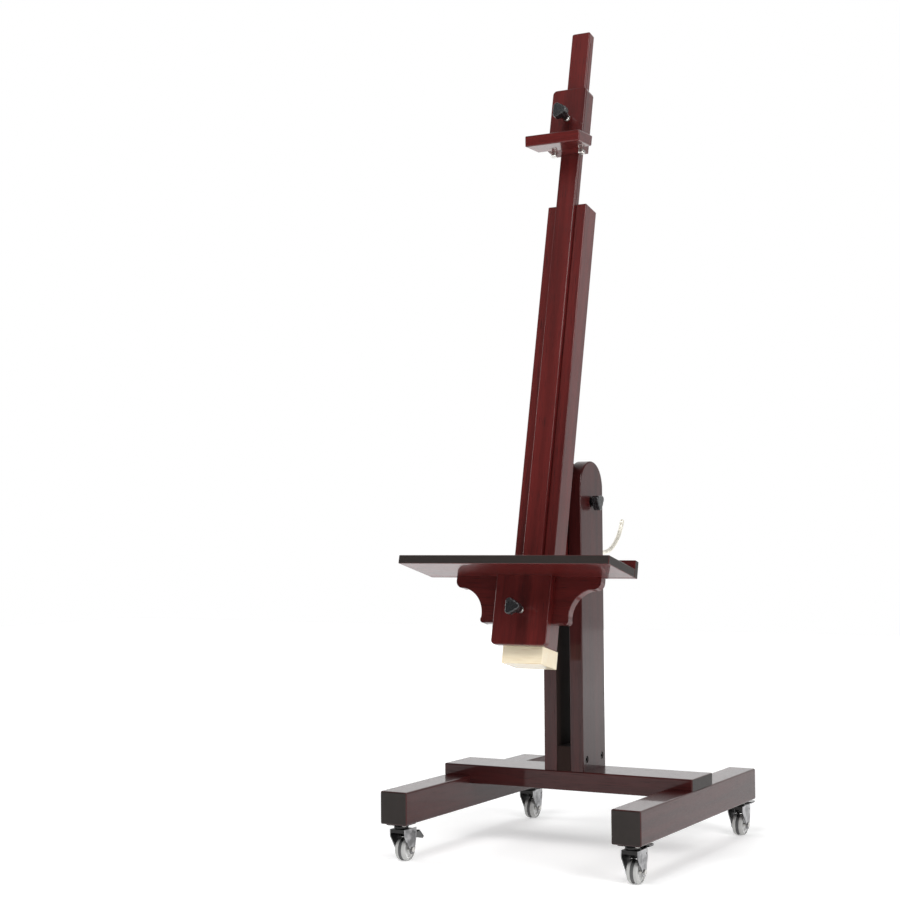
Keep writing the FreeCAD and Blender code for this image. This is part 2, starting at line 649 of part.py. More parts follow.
def make_lip():
    """The board that comes down over the top edge of a canvas."""
    lean = math.radians(MAST_LEAN)
    back_top = (HEAD_FRONT, HEAD_BOTTOM + LIP_RISE)
    front_top = (back_top[0] - LIP_DEPTH * math.cos(lean), back_top[1] - LIP_DEPTH * math.sin(lean))
    front_low = (
        front_top[0] + LIP_THICKNESS * math.sin(lean),
        front_top[1] - LIP_THICKNESS * math.cos(lean),
    )
    run = front_low[0] - HEAD_FRONT
    back_low = (HEAD_FRONT, front_low[1] - run * math.tan(lean))
    half = LIP_WIDTH / 2
    lip = side_prism([back_top, front_top, front_low, back_low], -half, half)
    outer = [e for e in lip.Edges if e.BoundBox.YMin < HEAD_FRONT - 1]
    lip = lip.makeFillet(2.5, outer)
    save("lip", on_mast(lip))


def make_bumpers():
    """Domed bolt heads under the head block, one on each side of the bar."""
    bolts = []
    y = (HEAD_FRONT + HEAD_BACK) / 2
    for x in (-BUMPER_X, BUMPER_X):
        head = rod(7.0, (x, y, HEAD_BOTTOM - 7), (x, y, HEAD_BOTTOM))
        rim = [e for e in head.Edges if e.BoundBox.ZMax < HEAD_BOTTOM - 6]
        head = head.makeFillet(2.5, rim)
        bolts.append(on_mast(joined(head, rod(2.5, (x, y, HEAD_BOTTOM - 1), (x, y, HEAD_BOTTOM + 18)))))
    save("head_bolts", *bolts)


def make_head_clamp():
    """The threaded insert, the clamp screw that presses on the bar, and its knob."""
    groove_front = SLIDER_FRONT - SLIDE_GAP
    insert = rod(INSERT_RADIUS, (0, HEAD_FRONT, HEAD_CLAMP_Z), (0, groove_front, HEAD_CLAMP_Z))
    bore = rod(BOLT_RADIUS + TURN_GAP, (0, HEAD_FRONT - 1, HEAD_CLAMP_Z), (0, groove_front + 1, HEAD_CLAMP_Z))
    save("head_insert", on_mast(insert.cut(bore)))
    knob_y = HEAD_FRONT - STUD_BARE
    screw_end = (0, knob_y - KNOB_THREAD, HEAD_CLAMP_Z)
    save("head_screw", on_mast(rod(BOLT_RADIUS, (0, groove_front, HEAD_CLAMP_Z), screw_end)))
    grip = knob(LONG_HUB, BOLT_RADIUS, KNOB_THREAD)
    save("head_knob", on_mast(facing(grip, (0, -1, 0), (0, knob_y, HEAD_CLAMP_Z))))


# ----------------------------------------------------------------------- casters
CASTER_X = RUNNER_X
CASTER_Y = 278.0
CASTER_TRAIL = 14.0
PLATE_THICKNESS = 2.5
PLATE_SIDE = 44.0
PLATE_SCREW = 16.0
CROWN_TOP = CASTER_HEIGHT - 11.0
SHEET = 2.0
FORK_HALF = 17.0
FORK_FRONT = -15.0          # front and back edges of a fork, from its swivel axis
FORK_BACK = 29.0
RACE_RADIUS = 14.0
AXLE_RADIUS = 3.0
TYRE_HALF = 11.0
RIM_RADIUS = 18.0
PEDAL_PIVOT_Y = 23.0
PEDAL_PIVOT_Z = 54.0
PEDAL_PIN = 2.0
PEDAL_CAM = 10.8            # reach of the cam that presses on the tyre
PEDAL_REACH = 60.0          # swivel axis to the tip of the toe plate
PEDAL_HALF = 18.0
PEDAL_TRAVEL = 40.0         # degrees from released to braked
BRAKED_CORNER = "front_left"


def fork_shape():
    """A pressed fork drawn on its swivel axis: crown, two legs and the ball race."""
    leg = [
        (FORK_FRONT, CROWN_TOP),
        (FORK_BACK, CROWN_TOP),
        (FORK_BACK, 49),
        (CASTER_TRAIL + 9, WHEEL_RADIUS),
        (CASTER_TRAIL - 9, WHEEL_RADIUS),
        (FORK_FRONT, 50),
    ]
    crown = box((-FORK_HALF, FORK_HALF), (FORK_FRONT, FORK_BACK - 12), (CROWN_TOP - SHEET, CROWN_TOP))
    apron = box((-FORK_HALF, FORK_HALF), (FORK_FRONT, FORK_FRONT + SHEET), (CROWN_TOP - 7, CROWN_TOP))
    fork = crown.fuse(apron)
    for side in (1, -1):
        x_range = sorted((side * FORK_HALF, side * (FORK_HALF - SHEET)))
        web = side_prism(leg, *x_range)
        eye = rod(9, (x_range[0], CASTER_TRAIL, WHEEL_RADIUS), (x_range[1], CASTER_TRAIL, WHEEL_RADIUS))
        fork = fork.fuse(web).fuse(eye)
    race = rod(RACE_RADIUS, (0, 0, CROWN_TOP), (0, 0, CASTER_HEIGHT - PLATE_THICKNESS - 1.5))
    race = race.makeFillet(2.5, [e for e in race.Edges if e.BoundBox.ZLength < 0.01])
    fork = fork.fuse(race).removeSplitter()
    axle_hole = rod(AXLE_RADIUS, (-20, CASTER_TRAIL, WHEEL_RADIUS), (20, CASTER_TRAIL, WHEEL_RADIUS))
    pedal_pivot = [(x, PEDAL_PIVOT_Y, PEDAL_PIVOT_Z) for x in (-20, 20)]
    pedal_hole = rod(PEDAL_PIN + TURN_GAP, *pedal_pivot)
    king_hole = rod(4.0 + TURN_GAP, (0, 0, CROWN_TOP - 5), (0, 0, CASTER_HEIGHT))
    return cut(fork, axle_hole, pedal_hole, king_hole)


def king_pin_shape():
    """The mounting plate with its king pin, on which the fork swivels."""
    half = PLATE_SIDE / 2
    low = CASTER_HEIGHT - PLATE_THICKNESS
    plate = box((-half, half), (-half, half), (low, CASTER_HEIGHT))
    corners = [e for e in plate.Edges if e.BoundBox.ZLength > 1]
    plate = plate.makeFillet(5.0, corners)
    for x in (-PLATE_SCREW, PLATE_SCREW):
        for y in (-PLATE_SCREW, PLATE_SCREW):
            plate = plate.cut(rod(2.2, (x, y, low - 1), (x, y, CASTER_HEIGHT + 1)))
    pin = rod(4.0, (0, 0, CROWN_TOP - SHEET - 0.4), (0, 0, low))
    rivet = rod(6.0, (0, 0, CROWN_TOP - SHEET - 2.4), (0, 0, CROWN_TOP - SHEET - 0.4))
    return joined(plate, pin, rivet)


def axle_shape():
    """The wheel axle, riveted over outside both legs of the fork."""
    y, z = CASTER_TRAIL, WHEEL_RADIUS
    axle = rod(AXLE_RADIUS, (-FORK_HALF, y, z), (FORK_HALF, y, z))
    for side in (1, -1):
        axle = axle.fuse(rod(5.0, (side * FORK_HALF, y, z), (side * (FORK_HALF + 2), y, z)))
    return axle.removeSplitter()


def wheel_shapes():
    """The soft tyre and the hard centre it is moulded on."""
    y, z = CASTER_TRAIL, WHEEL_RADIUS
    tyre = rod(WHEEL_RADIUS, (-TYRE_HALF, y, z), (TYRE_HALF, y, z))
    tyre = tyre.makeFillet(4.0, [e for e in tyre.Edges if e.BoundBox.XLength < 0.01])
    tyre = tyre.cut(rod(RIM_RADIUS, (-20, y, z), (20, y, z)))
    hub = rod(RIM_RADIUS, (-TYRE_HALF + 2, y, z), (TYRE_HALF - 2, y, z))
    for side in (1, -1):
        face = side * (TYRE_HALF - 2)
        dish = rod(RIM_RADIUS - 3, (face, y, z), (face - side * 2.5, y, z))
        hub = hub.cut(dish).fuse(rod(7.0, (face - side * 3, y, z), (side * (FORK_HALF - SHEET - 0.5), y, z)))
    hub = hub.removeSplitter().cut(rod(AXLE_RADIUS + TURN_GAP, (-20, y, z), (20, y, z)))
    return tyre, hub


def pedal_shape():
    """The brake pedal, released: a cam over the tyre, a cross pin, a toe plate."""
    inner = FORK_HALF - SHEET - 1.5
    y, z = PEDAL_PIVOT_Y, PEDAL_PIVOT_Z
    cam = box((-inner, inner), (y - 2.5, y + 2.5), (z - PEDAL_CAM, z))
    boss = rod(4.5, (-inner, y, z), (inner, y, z))
    toe_y = y + 11
    arm = side_prism([(y - 3, z + 2), (toe_y, z + 12), (toe_y + 6, z + 12), (y + 3, z - 2)], -inner, inner)
    pin = rod(PEDAL_PIN, (-FORK_HALF + 0.4, y, z), (FORK_HALF - 0.4, y, z))
    toe = box((-PEDAL_HALF, PEDAL_HALF), (toe_y, PEDAL_REACH), (z + 9, z + 12))
    corners = [e for e in toe.Edges if e.BoundBox.ZLength > 1 and e.BoundBox.YMin > toe_y + 1]
    return joined(cam, boss, arm, pin, toe.makeFillet(6.0, corners))


def pressed(pedal):
    """The pedal pushed down, which turns its cam towards the tyre."""
    turned = pedal.copy()
    turned.rotate(Vector(0, PEDAL_PIVOT_Y, PEDAL_PIVOT_Z), Vector(1, 0, 0), -PEDAL_TRAVEL)
    return turned


def make_casters():
    """Four braked swivel casters, one under each end of the runners."""
    parts = {
        "fork": fork_shape(),
        "axle": axle_shape(),
        "brake_pedal": pedal_shape(),
    }
    parts["tyre"], parts["wheel_hub"] = wheel_shapes()
    mount = king_pin_shape()
    plates = []
    screws = []
    for y_name, y in (("front", -CASTER_Y), ("rear", CASTER_Y)):
        for x_name, x in (("left", -CASTER_X), ("right", CASTER_X)):
            place = Vector(x, y, 0)
            corner = y_name + "_" + x_name
            for part_name, shape in parts.items():
                if corner == BRAKED_CORNER and part_name == "brake_pedal":
                    shape = pressed(shape)
                save(corner + "_" + part_name, shape.translated(place))
            plates.append(mount.translated(place))
            for dx in (-PLATE_SCREW, PLATE_SCREW):
                for dy in (-PLATE_SCREW, PLATE_SCREW):
                    top = CASTER_HEIGHT - PLATE_THICKNESS
                    head = rod(4.0, (x + dx, y + dy, top - 1.2), (x + dx, y + dy, top))
                    shank = rod(2.2, (x + dx, y + dy, top), (x + dx, y + dy, CASTER_HEIGHT))
                    screws.append(joined(head, shank))
    save("caster_plates", *plates)
    save("caster_screws", *screws)


def make_pivot_knob():
    """The short knob that locks the tilt of the mast."""
    grip = knob(4.0, PIVOT_BOLT_RADIUS + TURN_GAP, PIVOT_BOLT_END - POST_OUTER - 1.0)
    save("pivot_knob", facing(grip, (1, 0, 0), (POST_OUTER + WASHER_THICKNESS + 0.4, 0, PIVOT_HEIGHT)))


make_runners()
make_cross_beam()
make_posts()
make_post_spacer()
make_base_bolts()
make_pivot()
make_pivot_knob()
make_stiles()
make_back_board()
make_foot_block()
make_bracket_studs(make_tilt_bracket())
make_tilt_handle()
make_slider()
make_clamp_strip()
make_wing_board()
make_front_plate()
make_tray()
make_tray_clamp()
make_head_block()
make_keepers()
make_lip()
make_bumpers()
make_head_clamp()
make_casters()
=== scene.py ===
import math

import bpy
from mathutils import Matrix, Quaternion, Vector


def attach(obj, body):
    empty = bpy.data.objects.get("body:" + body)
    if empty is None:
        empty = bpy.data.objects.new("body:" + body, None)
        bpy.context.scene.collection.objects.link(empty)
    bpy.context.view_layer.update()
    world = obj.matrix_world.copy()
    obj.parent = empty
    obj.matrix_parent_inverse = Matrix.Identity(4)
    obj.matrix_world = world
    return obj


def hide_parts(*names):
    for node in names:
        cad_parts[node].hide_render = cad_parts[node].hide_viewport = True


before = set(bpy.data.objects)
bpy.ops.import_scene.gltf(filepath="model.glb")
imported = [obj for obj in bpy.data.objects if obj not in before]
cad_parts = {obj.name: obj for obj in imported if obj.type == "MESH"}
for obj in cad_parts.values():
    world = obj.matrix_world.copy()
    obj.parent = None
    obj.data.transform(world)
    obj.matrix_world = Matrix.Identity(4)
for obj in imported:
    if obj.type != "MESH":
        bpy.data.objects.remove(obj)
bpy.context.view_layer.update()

# ---------------------------------------------------------------- the camera
# It stands low, in front of the easel and to its right, and looks up a little,
# so the tops of the base are seen at a glance and the tray from underneath.
CAMERA_PLACE = Vector((1.4536, -3.1217, 0.6303))
CAMERA_AZIMUTH = math.radians(29.08)
CAMERA_ELEVATION = math.radians(-2.82)
CAMERA_ROLL = math.radians(-0.39)
CAMERA_LENS = 67.95

camera_data = bpy.data.cameras.new("studio_camera")
camera_data.lens = CAMERA_LENS
camera = bpy.data.objects.new("studio_camera", camera_data)
bpy.context.scene.collection.objects.link(camera)
towards_camera = Vector((
    math.sin(CAMERA_AZIMUTH) * math.cos(CAMERA_ELEVATION),
    -math.cos(CAMERA_AZIMUTH) * math.cos(CAMERA_ELEVATION),
    math.sin(CAMERA_ELEVATION),
))
level_view = (-towards_camera).to_track_quat("-Z", "Y")
camera.rotation_mode = "QUATERNION"
camera.rotation_quaternion = level_view @ Quaternion((0, 0, 1), CAMERA_ROLL)
camera.location = CAMERA_PLACE
bpy.context.scene.camera = camera
bpy.context.scene.view_settings.view_transform = "Standard"


# ---------------------------------------------------------------- the studio
# A pale floor in a white room. The room is bright behind the easel and above
# it, and dimmer on the painter's side, so the lacquer shows its deep colour.
class Value:
    """A shader output that takes Python's arithmetic signs."""

    def __init__(self, finish, socket):
        self.finish = finish
        self.socket = socket

    def maths(self, operation, first, second):
        return self.finish.node("Math", {"operation": operation}, {0: first, 1: second})

    def __add__(self, other):
        return self.maths("ADD", self, other)

    def __radd__(self, other):
        return self.maths("ADD", other, self)

    def __sub__(self, other):
        return self.maths("SUBTRACT", self, other)

    def __rsub__(self, other):
        return self.maths("SUBTRACT", other, self)

    def __mul__(self, other):
        return self.maths("MULTIPLY", self, other)

    def __rmul__(self, other):
        return self.maths("MULTIPLY", other, self)

    def __abs__(self):
        return self.maths("ABSOLUTE", self, 0.0)


class NodeTree:
    """A shader being put together, and the one way to add a node to it."""

    def __init__(self, tree):
        self.tree = tree

    def join(self, socket, value):
        """Links a value to a socket, or sets a constant on it."""
        if isinstance(value, Value):
            self.tree.links.new(value.socket, socket)
        elif isinstance(value, tuple) and socket.type == "RGBA":
            socket.default_value = (*value, 1.0)
        else:
            socket.default_value = value

    def node(self, kind, settings=None, values=None, output=0):
        """Adds a node and returns one of its outputs."""
        made = self.tree.nodes.new("ShaderNode" + kind)
        for name, setting in (settings or {}).items():
            setattr(made, name, setting)
        for name, value in (values or {}).items():
            self.join(made.inputs[name], value)
        return Value(self, made.outputs[output])

    def vector(self, operation, values):
        """A number worked out from vectors: their dot product, or one's length."""
        return self.node("VectorMath", {"operation": operation}, values, output="Value")

    def blend(self, amount, first, second):
        """A colour between two others."""
        settings = {"data_type": "RGBA", "clamp_factor": True}
        return self.node("Mix", settings, {0: amount, 6: first, 7: second}, output=2)

    def between(self, value, low, high, new_low=0.0, new_high=1.0):
        """A value spread from one range to another, and held inside it."""
        values = {"Value": value, "From Min": low, "From Max": high, "To Min": new_low, "To Max": new_high}
        return self.node("MapRange", {"interpolation_type": "SMOOTHSTEP"}, values)


class Finish(NodeTree):
    """A material of one coated or plated kind, made of shader nodes."""

    def __init__(self, name, **constants):
        self.material = bpy.data.materials.new(name)
        self.material.use_nodes = True
        super().__init__(self.material.node_tree)
        self.surface = self.tree.nodes["Principled BSDF"]
        self.set(**constants)

    def set(self, **values):
        """Gives sockets of the surface their values, as in base_color=red."""
        for name, value in values.items():
            socket_name = name.replace("_", " ").title().replace("Ior", "IOR")
            self.join(self.surface.inputs[socket_name], value)

    def place(self, turn=(0, 0, 0), shift=(0, 0, 0), stretch=(1, 1, 1)):
        """The piece's own coordinates in metres, turned, shifted, then stretched."""
        own = self.node("TexCoord", output="Object")
        turned_own = self.node("Mapping", values={"Vector": own, "Rotation": turn, "Location": shift})
        return self.node("Mapping", values={"Vector": turned_own, "Scale": stretch})

    def facing(self, axis):
        """How far the piece's surface faces along an axis, either way: 0 to 1."""
        normal = self.node("TexCoord", output="Normal")
        return abs(self.vector("DOT_PRODUCT", {0: normal, 1: axis}))

    def offset_across(self, x):
        """Distance from a plane of constant X in the piece's own coordinates."""
        own = self.node("TexCoord", output="Object")
        return abs(self.node("SeparateXYZ", values={0: own}, output="X") - x)

    def noise(self, where, scale, detail=2.0, roughness=0.5):
        values = {"Vector": where, "Scale": scale, "Detail": detail, "Roughness": roughness}
        return self.node("TexNoise", values=values)

    def bump(self, height, distance, strength=1.0):
        """Raises the surface by a height pattern, with distance in metres."""
        values = {"Height": height, "Distance": distance, "Strength": strength}
        self.set(normal=self.node("Bump", values=values))


FLOOR_SIZE = 14.0
FLOOR_GREY = 0.88
FLOOR_MOTTLE_LIGHTER = 0.03
FLOOR_MOTTLE_SCALE = 1.3
FLOOR_MOTTLE_RANGE = (0.3, 0.7)
FLOOR_GLOW_NEAR = 0.30
FLOOR_GLOW_FAR = 0.95
FLOOR_GLOW_START = 0.5
FLOOR_GLOW_REACH = 3.5
BLACK = (0, 0, 0)
WHITE = (1, 1, 1)

bpy.ops.mesh.primitive_plane_add(size=FLOOR_SIZE)
floor = bpy.context.object
floor.name = "studio_floor"
painted_floor = Finish("pale_floor", roughness=0.75, specular_ior_level=0.2)
from_middle = painted_floor.vector("LENGTH", {0: painted_floor.place()})
floor_glow = painted_floor.between(
    from_middle, FLOOR_GLOW_START, FLOOR_GLOW_REACH, FLOOR_GLOW_NEAR, FLOOR_GLOW_FAR)
painted_floor.set(emission_color=painted_floor.blend(floor_glow, BLACK, WHITE), emission_strength=1.0)
floor_mottle = painted_floor.noise(painted_floor.place(), FLOOR_MOTTLE_SCALE, detail=4.0)
painted_floor.set(base_color=painted_floor.blend(
    painted_floor.between(floor_mottle, *FLOOR_MOTTLE_RANGE),
    (FLOOR_GREY,) * 3,
    (FLOOR_GREY + FLOOR_MOTTLE_LIGHTER,) * 3,
))
floor.data.materials.append(painted_floor.material)

ROOM_BACK = Vector((-0.485, 0.873, 0.1)).normalized()
ROOM_DIM = 0.08
ROOM_BRIGHT = 1.2
ROOM_BRIGHT_FROM = 1.05

room = bpy.data.worlds.new("studio_room")
room.use_nodes = True
bpy.context.scene.world = room
air = NodeTree(room.node_tree)
outwards = air.node("TexCoord", output="Generated")
facing_back = air.vector("DOT_PRODUCT", {0: outwards, 1: tuple(ROOM_BACK)})
brightness = air.between(facing_back, 0.0, ROOM_BRIGHT_FROM, ROOM_DIM, ROOM_BRIGHT)
seen = air.node("LightPath", output="Is Camera Ray")
sky = room.node_tree.nodes["Background"]
air.join(sky.inputs["Color"], WHITE)
air.join(sky.inputs["Strength"], seen + (1 - seen) * brightness)


def softbox(name, place, aim, size, power):
    """A square soft light at one point, turned to face another."""
    light = bpy.data.lights.new(name, "AREA")
    light.size = size
    light.energy = power
    lamp = bpy.data.objects.new(name, light)
    bpy.context.scene.collection.objects.link(lamp)
    lamp.location = place
    lamp.rotation_mode = "QUATERNION"
    lamp.rotation_quaternion = (Vector(aim) - Vector(place)).to_track_quat("-Z", "Y")


softbox("right_softbox", place=(3.2, -1.6, 2.8), aim=(0, 0, 0.8), size=1.6, power=65)
softbox("left_softbox", place=(-4.2, -0.8, 1.8), aim=(0, 0, 0.7), size=1.6, power=60)
softbox("key_softbox", place=(0.1, -2.6, 3.6), aim=(0, 0, 0.6), size=2.0, power=85)
softbox("edge_softbox", place=(3.3, -1.85, 1.0), aim=(0, 0, 0.8), size=0.9, power=30)


# ------------------------------------------------------ the base and its posts
# Square beech, sanded round at the edges, stained a deep mahogany red and
# sprayed with clear gloss lacquer. Sawn ends drink more stain, and are painted
# almost black and greyer still with painted shade and reflection. The faces
# inside the gap between the posts go without lacquer and are painted brown as
# painted shade.
ACROSS = (1.0, 0.0, 0.0)
DEEP = (0.0, 1.0, 0.0)
MAST_LEAN = math.radians(13.2)
GRAIN = {
    "across": (0, math.radians(-90), 0),
    "deep": (math.radians(90), 0, 0),
    "upright": (0, 0, 0),
    "up_mast": (MAST_LEAN, 0, 0),
}
STAIN_DEEP = (0.045, 0.0045, 0.0042)
STAIN_WARM = (0.098, 0.0105, 0.0095)
PORE_DARK = (0.016, 0.004, 0.004)
# End faces: a dark grey that is partly stain and partly painted shade and reflection.
END_STAIN_AND_PAINTED_SHADE = (0.028, 0.022, 0.020)
END_STAIN_AND_PAINTED_SHADE_DARK = tuple(0.6 * channel for channel in END_STAIN_AND_PAINTED_SHADE)
# Faces in the gap between the posts: a brown that is painted shade.
GAP_PAINTED_SHADE = (0.020, 0.011, 0.009)
STREAKS_IN_FIGURE = 0.75
CLOUD_IN_FIGURE = 0.35
FIGURE_RANGE = (0.34, 0.74)
FLECK_RANGE = (0.60, 0.72)
FLECK_TINT = 0.35
PORE_RANGE = (0.66, 0.74)
PORE_TINT = 0.6
PORE_LACQUER_LOSS = 0.25
WOOD_ROUGHNESS = 0.30
FLECK_ROUGHER = 0.16
END_FACING = (0.80, 0.95)
END_ROUGHER = 0.15
END_LACQUER_LOSS = 0.6
BARE_EDGE = 0.0004
BARE_ROUGHER = 0.4


def lacquered_beech(name, grain, shift, light=STAIN_WARM, dark=STAIN_DEEP, pore=PORE_DARK,
                    ends=(), bare=0.0, gloss=0.72):
    """Stained beech: long faint streaks, short ray flecks, and fine filled pores.

    Faces square to an axis in ends take more stain and are painted darker and
    greyer with painted shade and reflection. Any surface nearer than bare to the
    middle plane goes without lacquer and is painted brown as painted shade."""
    wood = Finish(name, specular_ior_level=0.12, coat_roughness=0.06, coat_ior=1.45)

    def drawn_out(along, scale, detail, roughness=0.5):
        """Noise drawn out along the grain, more so the smaller along is."""
        return wood.noise(wood.place(GRAIN[grain], shift, (1, 1, along)), scale, detail, roughness)

    streaks = drawn_out(0.035, scale=42.0, detail=5.0, roughness=0.62)
    cloud = drawn_out(0.3, scale=6.0, detail=2.0)
    flecks = drawn_out(0.16, scale=520.0, detail=1.0)
    pores = drawn_out(0.03, scale=900.0, detail=0.0)
    figure = wood.between(streaks * STREAKS_IN_FIGURE + cloud * CLOUD_IN_FIGURE, *FIGURE_RANGE)
    flecked = wood.between(flecks, *FLECK_RANGE) * FLECK_TINT
    stained = wood.blend(figure, dark, light)
    stained = wood.blend(flecked, stained, light)
    in_pore = wood.between(pores, *PORE_RANGE)
    stained = wood.blend(in_pore * PORE_TINT, stained, pore)
    roughness = WOOD_ROUGHNESS + FLECK_ROUGHER * flecks
    coat = gloss - PORE_LACQUER_LOSS * in_pore
    # End faces are painted darker and greyer: partly the extra stain that sawn ends take, partly painted
    # shade and reflection.
    for axis in ends:
        at_end_with_painted_shade = wood.between(wood.facing(axis), *END_FACING)
        stained = wood.blend(at_end_with_painted_shade, stained, wood.blend(streaks, END_STAIN_AND_PAINTED_SHADE, END_STAIN_AND_PAINTED_SHADE_DARK))
        roughness = roughness + END_ROUGHER * at_end_with_painted_shade
        coat = coat * (1 - END_LACQUER_LOSS * at_end_with_painted_shade)
    # Faces in the gap between the posts go without lacquer and are painted brown as painted shade.
    if bare:
        unlacquered_with_painted_shade = wood.between(wood.offset_across(0.0), bare, bare + BARE_EDGE, 1.0, 0.0)
        stained = wood.blend(unlacquered_with_painted_shade, stained, GAP_PAINTED_SHADE)
        roughness = roughness + BARE_ROUGHER * unlacquered_with_painted_shade
        coat = coat * (1 - unlacquered_with_painted_shade)
    wood.set(base_color=stained, roughness=roughness, coat_weight=coat)
    wood.bump(streaks * 0.4 - in_pore * 0.5, distance=0.00012, strength=0.6)
    return wood.material


def finish_node(node, material):
    """Gives a carried-over solid its finish."""
    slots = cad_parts[node].data.materials
    slots.clear()
    slots.append(material)


POST_GAP_HALF = 0.0148
# The base takes darker copies of the stain colours, as painted shade for the dimmer light low down.
BASE_SHADED_DEEP = (0.022, 0.0040, 0.0040)
BASE_SHADED_WARM = (0.050, 0.0085, 0.0080)
BASE_GLOSS = 0.55
BASE_TIMBER = [
    ("left_runner", "deep", {"ends": [DEEP]}),
    ("right_runner", "deep", {"ends": [DEEP]}),
    ("cross_beam", "across", {"ends": [ACROSS]}),
    ("left_post", "upright", {"bare": POST_GAP_HALF}),
    ("right_post", "upright", {"bare": POST_GAP_HALF}),
    ("post_spacer", "upright", {"bare": POST_GAP_HALF}),
]
for index, (node, grain, extra) in enumerate(BASE_TIMBER):
    shift = (0.37 * index, 0.21 * index, 0.53 * index)
    finish_node(node, lacquered_beech(
        "lacquer_" + node, grain, shift, BASE_SHADED_WARM, BASE_SHADED_DEEP, gloss=BASE_GLOSS, **extra))


# --------------------------------------------------------- the mast and tongue
# Two rails with a board glued between them behind, and a tongue that reaches
# back between the posts. All of it is the same stained beech, grain upwards.
MAST_TIMBER = ["left_stile", "right_stile", "mast_back_board", "tilt_bracket"]
for index, node in enumerate(MAST_TIMBER):
    shift = (0.31, 0.43 * index, 0.17 * index)
    finish_node(node, lacquered_beech("lacquer_" + node, "up_mast", shift))


# ------------------------------------------------------------- the foot block
# A short end block of plain beech, screwed on under the mast. It is clear
# lacquered, not stained, and its grain runs across.
BEECH_PALE = (0.82, 0.73, 0.55)
BEECH_WARM = (0.80, 0.67, 0.46)
BEECH_FLECK = (0.62, 0.46, 0.28)
FOOT_BLOCK_SHIFT = (0.2, 0.1, 0.4)
finish_node("mast_foot_block", lacquered_beech(
    "clear_beech", "across", FOOT_BLOCK_SHIFT, BEECH_PALE, BEECH_WARM, BEECH_FLECK))


# ------------------------------------------- the slider, the tray and the head
# The bar that slides in the mast, with the tray boards fixed to its lower end
# and the clamp head that slides on it, all of the same stained beech. The ends
# of the tray board and its rail, and the board's front edge, are painted dark
# with painted shade and reflection on top of the stain they take.
OUT_OF_MAST = (0.0, math.cos(MAST_LEAN), -math.sin(MAST_LEAN))
SLIDING_TIMBER = [
    ("slider", "up_mast", []),
    ("clamp_strip", "up_mast", []),
    ("wing_board", "across", []),
    ("front_plate", "up_mast", []),
    ("tray_board", "across", [OUT_OF_MAST, ACROSS]),
    ("tray_rail", "across", [ACROSS]),
    ("head_block", "up_mast", []),
    ("lip", "across", []),
]
for index, (node, grain, ends) in enumerate(SLIDING_TIMBER):
    shift = (0.29 * index, 0.61, 0.47 * index)
    finish_node(node, lacquered_beech("lacquer_" + node, grain, shift, ends=ends))


# ------------------------------------------------------- bolts, rods and plates
# Zinc plated steel for most fastenings, bright drawn steel for the pivot bolt,
# satin nickel for the curved handle, and black oxide for the plates, washers
# and the two screws in the right post.
DRAWN_OUT = (1, 1, 0.02)
PATCH_RANGE = (0.42, 0.68)
PATCH_SHADE = 0.78
PATCH_ROUGHER = 0.14


def plated_steel(name, colour, roughness, along="upright", metallic=1.0):
    """Plated steel with faint drawing lines and small dull patches."""
    steel = Finish(name, metallic=metallic)
    drawn = steel.place(GRAIN[along], shift=(0.1, 0.2, 0.3), stretch=DRAWN_OUT)
    lines = steel.noise(drawn, scale=1500.0, detail=1.0)
    patches = steel.noise(steel.place(), scale=90.0, detail=3.0)
    dull = tuple(PATCH_SHADE * channel for channel in colour)
    steel.set(base_color=steel.blend(steel.between(patches, *PATCH_RANGE), colour, dull))
    steel.set(roughness=roughness + PATCH_ROUGHER * patches)
    steel.bump(lines, distance=0.00002, strength=0.4)
    return steel.material


zinc = plated_steel("zinc_plate", (0.70, 0.69, 0.66), roughness=0.24)
bright_steel = plated_steel("bright_drawn_steel", (0.90, 0.88, 0.84), roughness=0.16, along="deep")
satin_nickel = plated_steel("satin_nickel", (0.95, 0.91, 0.80), roughness=0.42, along="deep", metallic=0.55)
black_oxide = plated_steel("black_oxide", (0.03, 0.028, 0.028), roughness=0.3)
for node in ("base_bolts", "head_bolts", "caster_screws", "foot_block_screws", "bracket_studs",
             "tray_screws", "head_keepers", "keeper_screws", "tray_insert", "head_insert"):
    finish_node(node, zinc)
for node in ("post_screws", "pivot_washers", "caster_plates"):
    finish_node(node, black_oxide)
finish_node("tilt_handle", satin_nickel)
finish_node("pivot_bolt", bright_steel)


# ------------------------------------------------------------ the clamp screws
# Two bright steel screws, which run out from the mast to their knobs. Each has
# a thread cut along it, seen where it stands out between the wood and the knob.
THREAD_PITCH = 0.00125
THREAD_ROOT = 0.0033
THREAD_CREST = 0.0040
THREAD_SINK = 0.0001
SCREW_STEPS = 28
SCREW_END_BEVEL = 0.0008
SCREW_CORE_BORE = 0.0002
PLAIN_TURNS = 2
PIVOT_HEIGHT = 0.692
SMOOTH_BELOW = math.radians(35)


